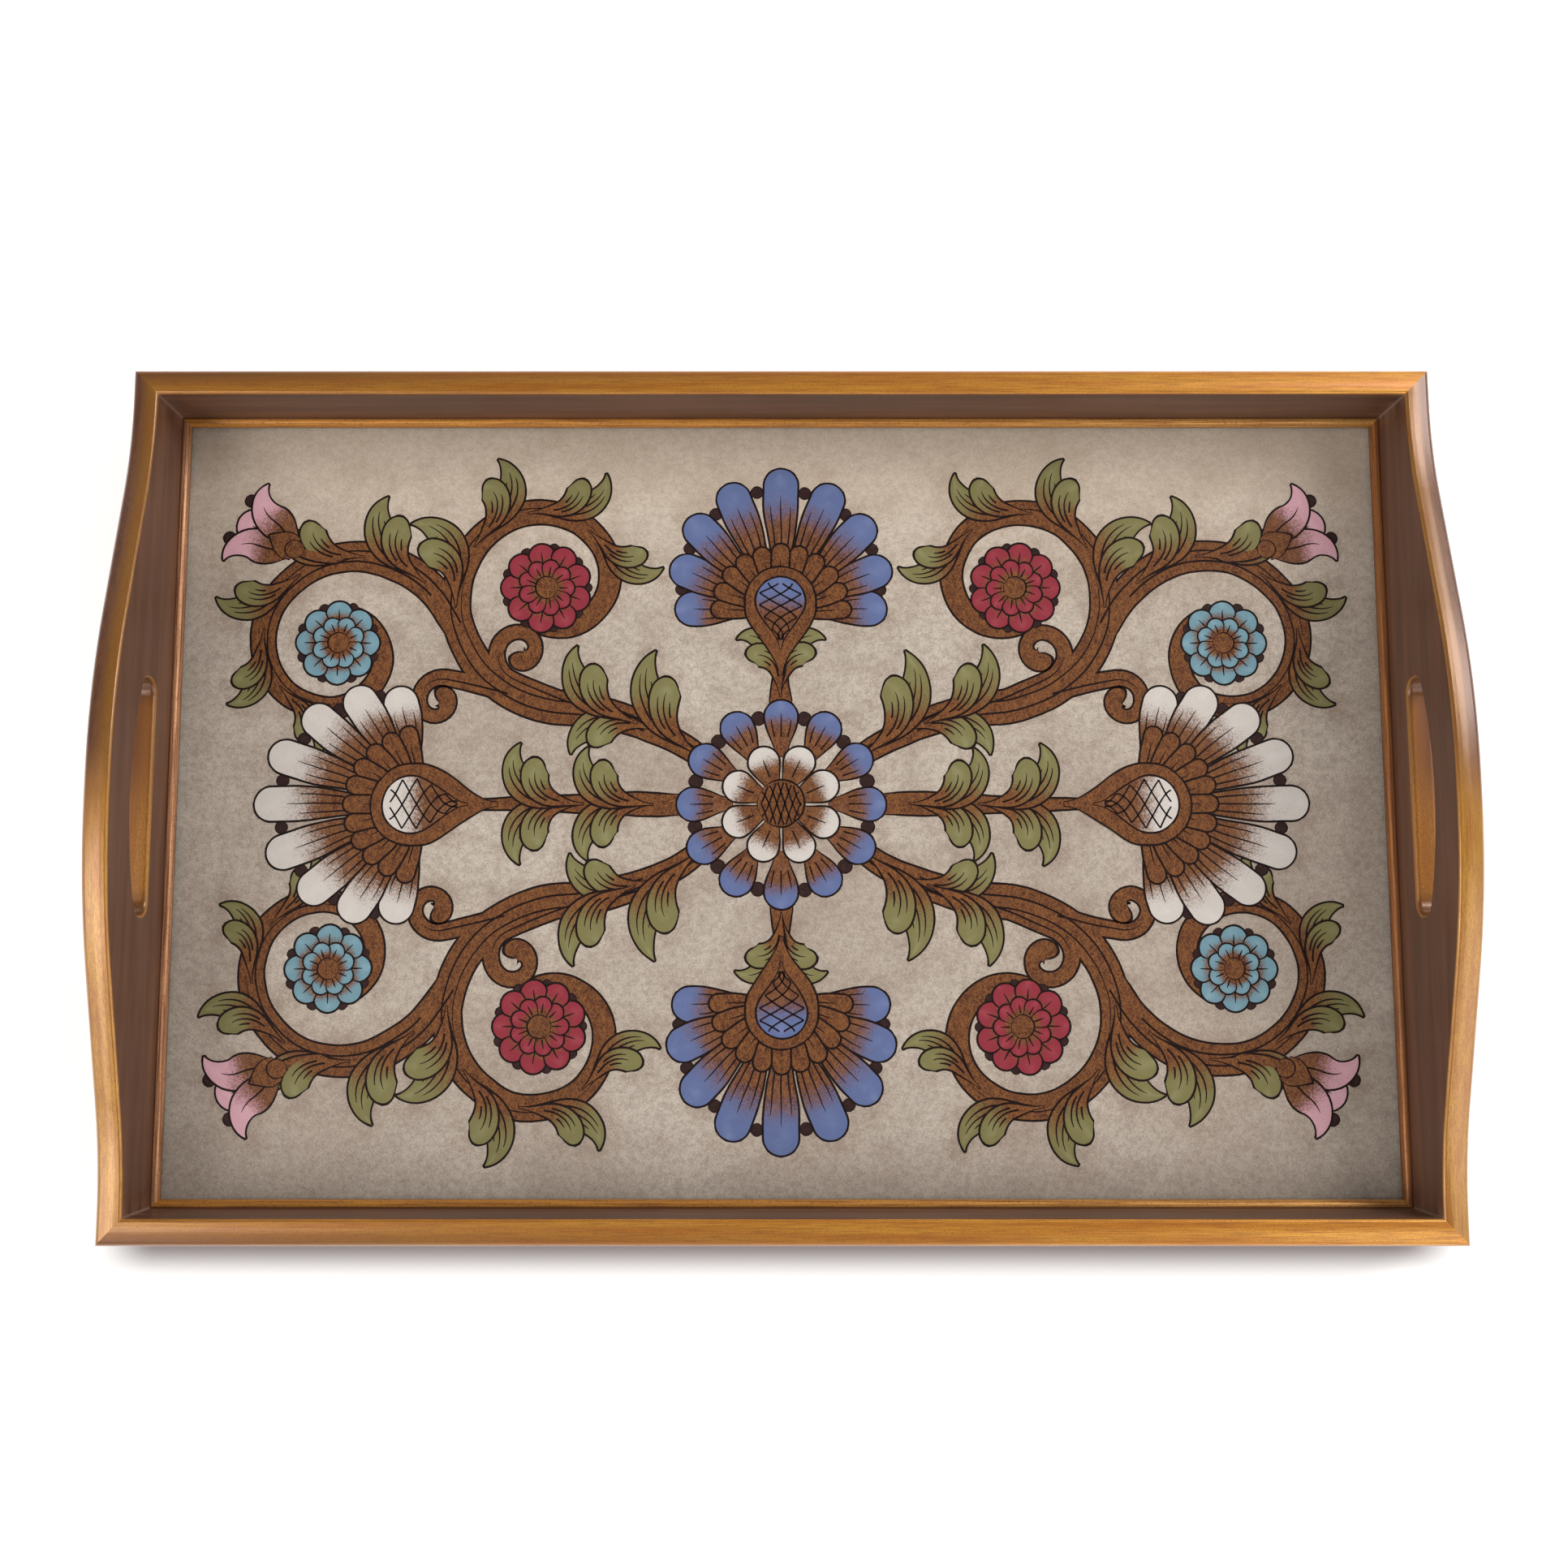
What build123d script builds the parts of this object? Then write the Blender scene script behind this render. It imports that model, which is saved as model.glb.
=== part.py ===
from build123d import *
import os
from math import cos, radians, sin

# A wooden serving tray with a reverse-painted glass floor, in millimetres.
# Four mitred walls stand round a base panel that sits in a rebate in their underside.
# The painted glass lies on the panel, and a gilt bead round its edge holds it down.
# The two end boards rise in an ogee to a hump with a hand slot through it.
# Every wall's top is level along its inside and falls a little towards its outside.
# +X runs along the tray's length, +Y to its back and +Z up. The origin is the bottom centre.

# Outside of the tray
LENGTH = 500.0
WIDTH = 330.0
RAIL_HEIGHT = 42.5
PEAK_HEIGHT = 72.0
WALL = 10.0
FALL_REACH = 6.0         # width of the part of a wall's top that falls to the outside
FALL_DEPTH = 1.3
FALL_ROUND = 12.0        # rounding where the level part and the fall meet
OUTER_ARRIS = 2.2        # radius along the outer top edge of every wall
INNER_ARRIS = 1.3        # radius along the inner top edge
FOOT_ARRIS = 0.8         # radius along the outer bottom edge

# Ogee of an end board, from its crown down to the rail's height
CROWN_FLAT = 4.0         # half length of the level stretch at the peak
CROWN_RADIUS = 218.0
SWEEP_RADIUS = 133.0     # hollow curve that runs out level where the mitre starts
OGEE_ANGLE = 16.6        # slope of the straight stretch between the two curves

# Hand slot: level below, arched above
SLOT_FLOOR = 30.5
SLOT_CROWN = 50.5
SLOT_LENGTH = 89.0
SLOT_ARCH_RADIUS = 113.0
SLOT_CORNER = 5.2
SLOT_ARRIS = 2.0         # rounding of the slot's edge on both faces of the board

# Floor of the tray, from the table up
BASE_RECESS = 1.2        # the panel stands clear of the table
BASE_THICKNESS = 6.0
REBATE_DEPTH = 5.0       # how far the panel reaches into each wall
BASE_GAP = 0.3
PAINT_THICKNESS = 0.3
GLASS_THICKNESS = 3.0
GLASS_GAP = 0.5
BEAD_WIDTH = 3.0
BEAD_HEIGHT = 4.0
BEAD_ROUND = 2.2
BEAD_EASE = 0.5          # slight rounding of the bead's other free edge

# Brads: flat wire with a small T head and a chisel point
BRAD_WIDTH = 1.2
BRAD_THICKNESS = 1.0
BRAD_HEAD = 2.0
BRAD_HEAD_DEPTH = 0.8
BRAD_POINT = 1.6
CORNER_BRAD_LENGTH = 25.0
CORNER_BRAD_HEIGHTS = (13.0, 31.0)
CORNER_BRAD_COVER = 1.0  # filler over the head
BASE_BRAD_LENGTH = 14.0
BASE_BRADS_LONG = 4      # brads along a long side
BASE_BRADS_SHORT = 3     # brads along a short side
BASE_BRAD_MARGIN = 40.0  # from the outside corner to the first brad

# Levels and inside sizes
BASE_TOP = BASE_RECESS + BASE_THICKNESS
GLASS_BOTTOM = BASE_TOP + PAINT_THICKNESS
GLASS_TOP = GLASS_BOTTOM + GLASS_THICKNESS
INNER_LENGTH = LENGTH - 2 * WALL
INNER_WIDTH = WIDTH - 2 * WALL


def save(shape, node):
    """Write one sub-part's STEP file under its node's name."""
    export_step(shape, f"parts/{node}.step")


def slab(length, width, low, high):
    """A flat rectangular board, centred on the origin, between two levels."""
    board = Box(length, width, high - low)
    return Pos(0, 0, (low + high) / 2) * board


def mitred(wall, outer_half, inner_half, outer_y, inner_y, turn):
    """Keep what lies between the two 45 degree mitre planes of a wall.

    The trapezium is drawn for a wall along X and turned about Z for an end board.
    """
    trapezium = Polyline(
        (-outer_half, outer_y),
        (outer_half, outer_y),
        (inner_half, inner_y),
        (-inner_half, inner_y),
        close=True,
    )
    keep = extrude(Rot(0, 0, turn) * make_face(trapezium), PEAK_HEIGHT)
    return wall & keep


def brad(length):
    """A brad that points up, its head at the origin and its flat wire lying along X."""
    head = BRAD_HEAD / 2
    wire = BRAD_WIDTH / 2
    outline = Polyline(
        (-head, 0),
        (head, 0),
        (head, BRAD_HEAD_DEPTH),
        (wire, BRAD_HEAD_DEPTH),
        (wire, length - BRAD_POINT),
        (0, length),
        (-wire, length - BRAD_POINT),
        (-wire, BRAD_HEAD_DEPTH),
        (-head, BRAD_HEAD_DEPTH),
        close=True,
    )
    return extrude(Plane.XZ * make_face(outline), BRAD_THICKNESS / 2, both=True)


def corner_pins():
    """Brads driven through each mitre, two to a corner, from the long rails inwards along Y."""
    pins = []
    head_line = WIDTH / 2 - CORNER_BRAD_COVER
    for x_side in (-1, 1):
        for y_side in (-1, 1):
            for height in CORNER_BRAD_HEIGHTS:
                place = Pos(x_side * (LENGTH - WALL) / 2, y_side * head_line, height)
                pins.append(place * Rot(y_side * 90, 0, 0) * brad(CORNER_BRAD_LENGTH))
    return pins


def base_pins():
    """Brads driven up through the panel in the middle of the rebate, heads flush below."""
    x_line = (INNER_LENGTH + REBATE_DEPTH) / 2
    y_line = (INNER_WIDTH + REBATE_DEPTH) / 2
    long_step = (LENGTH - 2 * BASE_BRAD_MARGIN) / (BASE_BRADS_LONG - 1)
    short_step = (WIDTH - 2 * BASE_BRAD_MARGIN) / (BASE_BRADS_SHORT - 1)
    pins = []
    for side in (-1, 1):
        for count in range(BASE_BRADS_LONG):
            x = -LENGTH / 2 + BASE_BRAD_MARGIN + count * long_step
            pins.append(Pos(x, side * y_line, BASE_RECESS) * brad(BASE_BRAD_LENGTH))
        for count in range(BASE_BRADS_SHORT):
            y = -WIDTH / 2 + BASE_BRAD_MARGIN + count * short_step
            pins.append(Pos(side * x_line, y, BASE_RECESS) * Rot(0, 0, 90) * brad(BASE_BRAD_LENGTH))
    return pins


def without(board, pins):
    """The board with a hole for every brad that enters it."""
    for pin in pins:
        board = board - pin
    return board


def wall_section():
    """Cross-section of a rail: outside at -Y, crowned top, rebate inside below."""
    outline = Polyline(
        (0, 0),
        (WALL - REBATE_DEPTH, 0),
        (WALL - REBATE_DEPTH, BASE_TOP),
        (WALL, BASE_TOP),
        (WALL, RAIL_HEIGHT),
        (FALL_REACH, RAIL_HEIGHT),
        (0, RAIL_HEIGHT - FALL_DEPTH),
        close=True,
    )
    section = make_face(outline)
    corners = section.vertices()
    inner_top = corners.filter_by(lambda corner: corner.X > WALL - 0.1 and corner.Y > RAIL_HEIGHT - 1)
    section = fillet(inner_top, INNER_ARRIS)
    corners = section.vertices()
    outer_top = corners.filter_by(lambda corner: corner.X < 0.1 and corner.Y > FALL_DEPTH)
    section = fillet(outer_top, OUTER_ARRIS)
    corners = section.vertices()
    fall_start = corners.filter_by(lambda corner: abs(corner.X - FALL_REACH) < 0.01)
    section = fillet(fall_start, FALL_ROUND)
    corners = section.vertices()
    foot = corners.filter_by(lambda corner: corner.X < 0.1 and corner.Y < 0.1)
    return fillet(foot, FOOT_ARRIS)


def front_rail(pins):
    """Low wall along the tray's front, mitred at both ends."""
    section_plane = Plane(origin=(-LENGTH / 2, -WIDTH / 2, 0), x_dir=(0, 1, 0), z_dir=(1, 0, 0))
    rail = extrude(section_plane * wall_section(), LENGTH)
    rail = mitred(rail, LENGTH / 2, INNER_LENGTH / 2, -WIDTH / 2, -INNER_WIDTH / 2, 0)
    return without(rail, pins)


def ogee_board():
    """Side view of an end board, drawn as a half and mirrored, level at crown and corners."""
    turn = radians(OGEE_ANGLE)
    curve_rise = (CROWN_RADIUS + SWEEP_RADIUS) * (1 - cos(turn))
    slope_length = (PEAK_HEIGHT - RAIL_HEIGHT - curve_rise) / sin(turn)
    crown = Line((0, PEAK_HEIGHT), (CROWN_FLAT, PEAK_HEIGHT))
    shoulder = JernArc(crown @ 1, (1, 0), CROWN_RADIUS, -OGEE_ANGLE)
    slope = Line(shoulder @ 1, (shoulder @ 1) + slope_length * (shoulder % 1))
    sweep = JernArc(slope @ 1, slope % 1, SWEEP_RADIUS, OGEE_ANGLE)
    corner = Polyline(sweep @ 1, (WIDTH / 2, RAIL_HEIGHT), (WIDTH / 2, 0), (0, 0))
    middle = Line((0, 0), (0, PEAK_HEIGHT))
    half = make_face(crown + shoulder + slope + sweep + corner + middle)
    return half + mirror(half, about=Plane.YZ)


def slot_outline():
    """Hand slot: level floor, arched top, rounded at its four corners."""
    half = SLOT_LENGTH / 2
    spring = SLOT_CROWN - SLOT_ARCH_RADIUS + (SLOT_ARCH_RADIUS**2 - half**2) ** 0.5
    arch = ThreePointArc((-half, spring), (0, SLOT_CROWN), (half, spring))
    sides = Polyline((half, spring), (half, SLOT_FLOOR), (-half, SLOT_FLOOR), (-half, spring))
    slot = make_face(arch + sides)
    return fillet(slot.vertices(), SLOT_CORNER)


def left_end_board(pins):
    """Ogee end board: slot and top are shaped first, then the rebate and the mitres cut."""
    side_view = Plane(origin=(-LENGTH / 2, 0, 0), x_dir=(0, 1, 0), z_dir=(1, 0, 0))
    board = extrude(side_view * ogee_board(), WALL)
    board = board - extrude(side_view * slot_outline(), WALL)
    outer_face = board.faces().sort_by(Axis.X)[0]
    inner_face = board.faces().sort_by(Axis.X)[-1]
    slot_edges = outer_face.inner_wires()[0].edges() + inner_face.inner_wires()[0].edges()
    board = fillet(slot_edges, SLOT_ARRIS)
    outer_face = board.faces().sort_by(Axis.X)[0]
    board = chamfer(top_edges(board, 0), FALL_DEPTH, FALL_REACH, reference=outer_face)
    fall_line = -LENGTH / 2 + FALL_REACH
    fall_start = board.edges().filter_by(lambda edge: abs(edge.center().X - fall_line) < 0.01)
    board = fillet(fall_start, FALL_ROUND)
    board = fillet(top_edges(board, 0), OUTER_ARRIS)
    board = fillet(top_edges(board, -1), INNER_ARRIS)
    foot = board.faces().sort_by(Axis.X)[0].outer_wire().edges().sort_by(Axis.Z)[0]
    board = fillet(foot, FOOT_ARRIS)
    rebate_middle = (-INNER_LENGTH / 2 - REBATE_DEPTH / 2, 0, BASE_TOP / 2)
    board = board - Pos(*rebate_middle) * Box(REBATE_DEPTH, WIDTH, BASE_TOP)
    board = mitred(board, WIDTH / 2, INNER_WIDTH / 2, LENGTH / 2, INNER_LENGTH / 2, 90)
    return without(board, pins)


def top_edges(board, side):
    """Edges of the ogee on one face of the board, the outer for 0 and the inner for -1."""
    edges = board.faces().sort_by(Axis.X)[side].outer_wire().edges()
    return edges.filter_by(lambda edge: edge.center().Z > RAIL_HEIGHT - FALL_DEPTH - 0.1)


def bead(length, depth, turn):
    """Glass bead along one wall: flat on the glass, its inner top edge rounded over.

    It is drawn along X for a wall at -Y and turned about Z for the others.
    """
    section = Pos(BEAD_WIDTH / 2, BEAD_HEIGHT / 2) * Rectangle(BEAD_WIDTH, BEAD_HEIGHT)
    rounded = section.vertices().sort_by(lambda corner: corner.X + corner.Y)[-1]
    section = fillet(rounded, BEAD_ROUND)
    eased = section.vertices().sort_by(lambda corner: corner.Y - corner.X)[0]
    section = fillet(eased, BEAD_EASE)
    section_plane = Plane(origin=(-length / 2, -depth / 2, GLASS_TOP), x_dir=(0, 1, 0), z_dir=(1, 0, 0))
    strip = extrude(section_plane * section, length)
    inner_y = -depth / 2 + BEAD_WIDTH
    strip = mitred(strip, length / 2, length / 2 - BEAD_WIDTH, -depth / 2, inner_y, 0)
    return Rot(0, 0, turn) * strip


def base_panel(pins):
    """Plywood panel in the walls' rebate, a little clear of it all round."""
    reach = 2 * (REBATE_DEPTH - BASE_GAP)
    panel = slab(INNER_LENGTH + reach, INNER_WIDTH + reach, BASE_RECESS, BASE_TOP)
    return without(panel, pins)


mitre_brads = corner_pins()
panel_brads = base_pins()
all_brads = mitre_brads + panel_brads

front = front_rail(all_brads)
left = left_end_board(all_brads)
save(front, "front_rail")
save(mirror(front, about=Plane.XZ), "back_rail")
save(left, "left_end_board")
save(mirror(left, about=Plane.YZ), "right_end_board")

save(bead(INNER_LENGTH, INNER_WIDTH, 0), "front_bead")
save(bead(INNER_LENGTH, INNER_WIDTH, 180), "back_bead")
save(bead(INNER_WIDTH, INNER_LENGTH, -90), "left_bead")
save(bead(INNER_WIDTH, INNER_LENGTH, 90), "right_bead")

pane_length = INNER_LENGTH - 2 * GLASS_GAP
pane_width = INNER_WIDTH - 2 * GLASS_GAP
save(slab(pane_length, pane_width, GLASS_BOTTOM, GLASS_TOP), "glass_pane")
save(slab(pane_length, pane_width, BASE_TOP, GLASS_BOTTOM), "paint_film")
save(base_panel(all_brads), "base_panel")

save(Compound(mitre_brads), "corner_pins")
save(Compound(panel_brads), "base_pins")
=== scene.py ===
from math import cos, degrees, hypot, log, pi, radians, sin, sqrt

import bpy
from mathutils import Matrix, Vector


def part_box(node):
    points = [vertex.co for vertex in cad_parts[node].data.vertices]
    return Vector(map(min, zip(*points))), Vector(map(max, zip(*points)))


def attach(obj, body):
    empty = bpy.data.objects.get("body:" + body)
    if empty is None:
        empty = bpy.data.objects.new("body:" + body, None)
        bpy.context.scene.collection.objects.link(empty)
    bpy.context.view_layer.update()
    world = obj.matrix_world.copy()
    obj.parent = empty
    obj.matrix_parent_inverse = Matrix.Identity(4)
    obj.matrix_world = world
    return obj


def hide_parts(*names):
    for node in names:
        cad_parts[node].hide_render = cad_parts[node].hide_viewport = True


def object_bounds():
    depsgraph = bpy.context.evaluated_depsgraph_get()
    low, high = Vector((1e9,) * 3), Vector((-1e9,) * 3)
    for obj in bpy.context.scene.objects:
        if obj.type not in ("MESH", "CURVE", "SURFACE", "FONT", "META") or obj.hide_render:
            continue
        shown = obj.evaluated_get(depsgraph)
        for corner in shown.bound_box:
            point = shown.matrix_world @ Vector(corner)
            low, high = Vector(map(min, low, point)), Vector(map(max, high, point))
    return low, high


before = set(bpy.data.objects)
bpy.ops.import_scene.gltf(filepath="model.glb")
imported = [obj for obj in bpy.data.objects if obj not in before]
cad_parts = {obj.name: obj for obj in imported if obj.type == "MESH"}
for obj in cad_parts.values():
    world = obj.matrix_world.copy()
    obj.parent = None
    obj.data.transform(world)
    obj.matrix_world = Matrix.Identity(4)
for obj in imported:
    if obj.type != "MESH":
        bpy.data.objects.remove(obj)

cad_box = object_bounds()


# ---- Base panel ------------------------------------------------------------------------------
# A sheet of thin birch plywood, let into a rebate under the four walls and pinned there. It
# carries the glass, and it shows only from below, where it is stained brown and left matt.

mm = 0.001


def shade(code):
    """A colour written as six hexadecimal digits, as the linear values that shaders take."""
    channels = [int(code[place:place + 2], 16) / 255 for place in (0, 2, 4)]
    return tuple(c / 12.92 if c < 0.04045 else ((c + 0.055) / 1.055) ** 2.4 for c in channels) + (1.0,)


class Wire:
    """A node's output, on which plain arithmetic can be written."""

    def __init__(self, nodes, socket):
        self.nodes = nodes
        self.socket = socket

    def maths(self, operation, *values):
        """What a Math node makes of the values."""
        return self.nodes.node("ShaderNodeMath", {"operation": operation}, dict(enumerate(values)))

    def __add__(self, other):
        return self.maths("ADD", self, other)

    def __sub__(self, other):
        return self.maths("SUBTRACT", self, other)

    def __rsub__(self, other):
        return self.maths("SUBTRACT", other, self)

    def __mul__(self, other):
        return self.maths("MULTIPLY", self, other)

    def __truediv__(self, other):
        return self.maths("DIVIDE", self, other)

    def __pow__(self, other):
        return self.maths("POWER", self, other)

    def __neg__(self):
        return self.maths("SUBTRACT", 0, self)

    def __abs__(self):
        return self.maths("ABSOLUTE", self)

    __radd__ = __add__
    __rmul__ = __mul__

    def most(self, other):
        """The greater of two values."""
        return self.maths("MAXIMUM", self, other)

    def least(self, other):
        """The smaller of two values."""
        return self.maths("MINIMUM", self, other)

    def rise(self, low, high):
        """0 below one value and 1 above the other, with a soft step between them."""
        settings = {"interpolation_type": "SMOOTHSTEP"}
        return self.nodes.node("ShaderNodeMapRange", settings, {0: self, 1: low, 2: high})


class Nodes:
    """A node tree that is written out in Python."""

    def __init__(self, tree):
        self.tree = tree

    def node(self, kind, settings, sockets, output=0):
        """One node, with its settings made before its sockets are fed, as one of its outputs."""
        made = self.tree.nodes.new(kind)
        for setting, value in settings.items():
            setattr(made, setting, value)
        for socket, value in sockets.items():
            self.feed(made.inputs[socket], value)
        return Wire(self, made.outputs[output])

    def feed(self, socket, value):
        """Link a wire to a socket, or set the socket to a plain value."""
        if isinstance(value, Wire):
            self.tree.links.new(value.socket, socket)
        else:
            socket.default_value = value

    def split(self, vector):
        """The x, y and z of a vector."""
        parts = self.node("ShaderNodeSeparateXYZ", {}, {0: vector})
        return [Wire(self, output) for output in parts.socket.node.outputs]


class Finish(Nodes):
    """A surface finish: one material round one Principled shader."""

    def __init__(self, name, sockets):
        self.material = bpy.data.materials.new(name)
        self.material.use_nodes = True
        super().__init__(self.material.node_tree)
        self.shader = self.tree.nodes["Principled BSDF"]
        self.wear(sockets)

    def wear(self, sockets):
        """Set or link sockets of the shader."""
        for name, value in sockets.items():
            self.feed(self.shader.inputs[name], value)

    def place(self):
        """The point's x, y and z in metres."""
        return self.split(self.node("ShaderNodeTexCoord", {}, {}, "Object"))

    def facing(self):
        """The x, y and z of the surface's normal."""
        return self.split(self.node("ShaderNodeNewGeometry", {}, {}, "Normal"))

    def noise(self, grain, detail=3.0, roughness=0.55, warp=0.0, seed=0.0, turn=0.0):
        """Cloudy noise from 0 to 1, whose grain may differ along x, y and z and be turned about z."""
        spot = self.node("ShaderNodeTexCoord", {}, {}, "Object")
        sockets = {0: spot, 1: (seed, seed, seed), 2: (0, 0, radians(turn)), 3: grain}
        spot = self.node("ShaderNodeMapping", {"vector_type": "TEXTURE"}, sockets)
        sockets = {"Vector": spot, "Scale": 1.0, "Detail": detail, "Roughness": roughness}
        return self.node("ShaderNodeTexNoise", {}, sockets | {"Distortion": warp})

    def blend(self, share, under, over, mode="MIX"):
        """One colour over another, by a share from 0 to 1."""
        settings = {"data_type": "RGBA", "blend_type": mode}
        return self.node("ShaderNodeMix", settings, {0: share, 6: under, 7: over}, 2)

    def relief(self, height, depth):
        """Feed a height from 0 to 1 into the shader's normal, as a bump of a depth in metres."""
        bump = self.node("ShaderNodeBump", {}, {"Strength": 1.0, "Distance": depth, "Height": height})
        self.wear({"Normal": bump})

    def cover(self, surface):
        """Put another shader, or a mix of shaders, on the surface."""
        self.feed(self.tree.nodes["Material Output"].inputs["Surface"], surface)


def dress(material, *nodes):
    """Give a finish to the tray's solids of these names."""
    for node in nodes:
        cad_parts[node].material_slots[0].material = material


def plywood():
    """Rotary-cut birch face, stained brown: long figure along x with fine pores."""
    finish = Finish("stained_plywood", {"Roughness": 0.6, "Specular IOR Level": 0.35})
    figure = finish.noise((0.30, 0.016, 0.016), detail=4, warp=0.8)
    pores = finish.noise((0.012, 0.0007, 0.0007), detail=2).rise(0.56, 0.74)
    colour = finish.blend(figure.rise(0.35, 0.68), shade("8a6a48"), shade("6f5036"))
    colour = finish.blend(pores * 0.5, colour, shade("3f2a1c"))
    finish.wear({"Base Color": colour})
    finish.relief(1 - pores, 0.05 * mm)
    return finish.material


dress(plywood(), "base_panel")


# ---- Walls -----------------------------------------------------------------------------------
# Four softwood boards, mitred, glued and pinned: two low rails, and two end boards that rise in
# an ogee over a hand slot. They are stained brown, and gold is brushed along the tops and through
# the slots, thinning to bronze down the outsides and, partly as painted shade, at the tops' outer
# edges. Painted shade also darkens the end boards' back halves, the rails' left ends and the slots'
# ends, and a painted highlight runs down each inner mitre.

half_length, half_width = cad_box[1][:2]
inner_half_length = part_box("right_bead")[1][0]
inner_half_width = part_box("back_bead")[1][1]
slot_half_length = 44.5 * mm
slot_top = 50.5 * mm        # above the table, at the middle of its arch
slot_rim = 2 * mm           # the rounding round the slot, which is gilded with it


def wall_stain(finish, clouds, grain, from_corner):
    """Brown stain, greyer over the filler in a mitre, with a pale painted highlight along the mitre's
    joint.
    """
    stain = finish.blend(clouds.rise(0.3, 0.75), shade("593827"), shade("704932"))
    stain = finish.blend(grain.rise(0.62, 0.76) * 0.4, stain, shade("80604f"))
    filler = (1 - from_corner.rise(0.4 * mm, 7 * mm)) * clouds.rise(0.35, 0.65)
    stain = finish.blend(filler * 0.5, stain, shade("8f6c5a"))
    # painted highlight: a pale line down the filled mitre, where a highlight falls
    mitre_highlight = 1 - from_corner.rise(0.4 * mm, 1.0 * mm)
    return finish.blend(mitre_highlight * 0.6, stain, shade("a08474"))


def gilt_wall(name, lengthwise):
    """Brushed antique gold on a wall whose length lies along x, or along y for an end board."""
    finish = Finish(name, {"Coat Roughness": 0.25, "Specular IOR Level": 0.6})
    x, y, z = finish.place()
    facing_x, facing_y, facing_z = finish.facing()
    if lengthwise == "x":
        streak_grain = (0.014, 0.0004, 0.0004)
        cloud_grain = (0.09, 0.003, 0.006)
        from_inner_face = abs(y) - inner_half_width
        # 1 on the outside, 0 on the top and -1 on the inside
        facing_out = facing_y * y / (abs(y) + mm)
        from_corner = inner_half_length - abs(x)
        # painted shade: the rails' gold is painted darker towards the left, as light falls more from the
        # right
        thin = 0.2 - 2.4 * x
        light_gold, deep_gold = shade("e8a236"), shade("cf8024")
        metal, lacquer = 0.34, 0.45
    else:
        streak_grain = (0.0004, 0.014, 0.0006)
        cloud_grain = (0.003, 0.09, 0.006)
        from_inner_face = abs(x) - inner_half_length
        facing_out = facing_x * x / (abs(x) + mm)
        from_corner = inner_half_width - abs(y)
        # painted shade: the end boards' tops are painted darker over their back halves, whose slopes face
        # away from the light
        thin = y.rise(-15 * mm, 20 * mm)
        light_gold, deep_gold = shade("cb932c"), shade("b2711e")
        metal, lacquer = 0.26, 0.5
        below_top = (slot_top + slot_rim - z).rise(0, 1 * mm)
        between_ends = (slot_half_length + slot_rim - abs(y)).rise(0, 1 * mm)
        in_slot = below_top * between_ends * (1 - abs(facing_out)).rise(0.1, 0.5)
        slot_end_shade = abs(y).rise(slot_half_length - 11 * mm, slot_half_length - 2 * mm)
    inside = (-facing_out).rise(0.86, 0.97) * (1 - from_inner_face.rise(0.15 * mm, 0.45 * mm))
    outside = facing_out.rise(0.7, 0.98)
    # 0 at the inner face and 1 at the outer edge of a top: the bronze deepens outwards, partly as thinner
    # gilding and partly as painted shade over the rounded outer edge
    across = from_inner_face.rise(1.0 * mm, 8.5 * mm)

    streaks = finish.noise(streak_grain, detail=4, roughness=0.65)
    clouds = finish.noise(cloud_grain, detail=3)
    grain = finish.noise((0.0008, 0.0005, 0.0006), detail=3, roughness=0.75)
    gold = finish.blend(clouds.rise(0.3, 0.7), deep_gold, light_gold)
    gold = finish.blend(streaks.rise(0.42, 0.66) * 0.6, gold, shade("98591c"))
    gold = finish.blend(grain.rise(0.46, 0.7) * 0.45, gold, shade("8a5018"))
    bronze = finish.blend(streaks.rise(0.4, 0.7), shade("5a3119"), shade("744423"))
    bronze = finish.blend(grain.rise(0.5, 0.75) * 0.4, bronze, shade("4a2817"))
    # where bronze shows on the tops: wear, with painted shade from thin and across
    wear_and_painted_shade = (0.2 + 0.8 * thin * facing_z.rise(0.3, 0.8)) * (0.55 + 0.45 * across)
    colour = finish.blend(wear_and_painted_shade * (0.7 + 0.6 * clouds), gold, bronze)
    if lengthwise == "y":
        colour = finish.blend(in_slot * (0.25 + 0.45 * grain.rise(0.4, 0.6)), colour, shade("824912"))
        # painted shade: the slot is painted dark towards its deep round ends
        colour = finish.blend(in_slot * slot_end_shade * 0.7, colour, shade("5a3018"))
    colour = finish.blend(outside * 0.75, colour, bronze)
    colour = finish.blend(inside, colour, wall_stain(finish, clouds, grain, from_corner))
    finish.wear({
        "Base Color": colour,
        "Metallic": (1 - inside) * metal,
        "Roughness": 0.25 + 0.14 * streaks + 0.16 * inside,
        "Coat Weight": (1 - inside) * lacquer + 0.1,
    })
    finish.relief(streaks + 0.5 * grain, 0.03 * mm)
    return finish.material


dress(gilt_wall("gilt_rail", "x"), "front_rail", "back_rail")
dress(gilt_wall("gilt_end_board", "y"), "left_end_board", "right_end_board")


# ---- Brads -----------------------------------------------------------------------------------
# Flat-wire steel brads. Eight are driven through the mitres and filled over, and fourteen hold
# the base panel, with heads that sit flush in its underside.


def steel():
    """Bright drawn wire, dulled by handling."""
    finish = Finish("brad_steel", {"Metallic": 1.0})
    dulling = finish.noise((0.0008, 0.0008, 0.0008), detail=3)
    colour = finish.blend(dulling.rise(0.4, 0.7), shade("b9b6b0"), shade("7f7b75"))
    finish.wear({"Base Color": colour, "Roughness": 0.3 + 0.25 * dulling})
    finish.relief(dulling, 0.01 * mm)
    return finish.material


dress(steel(), "corner_pins", "base_pins")


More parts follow.
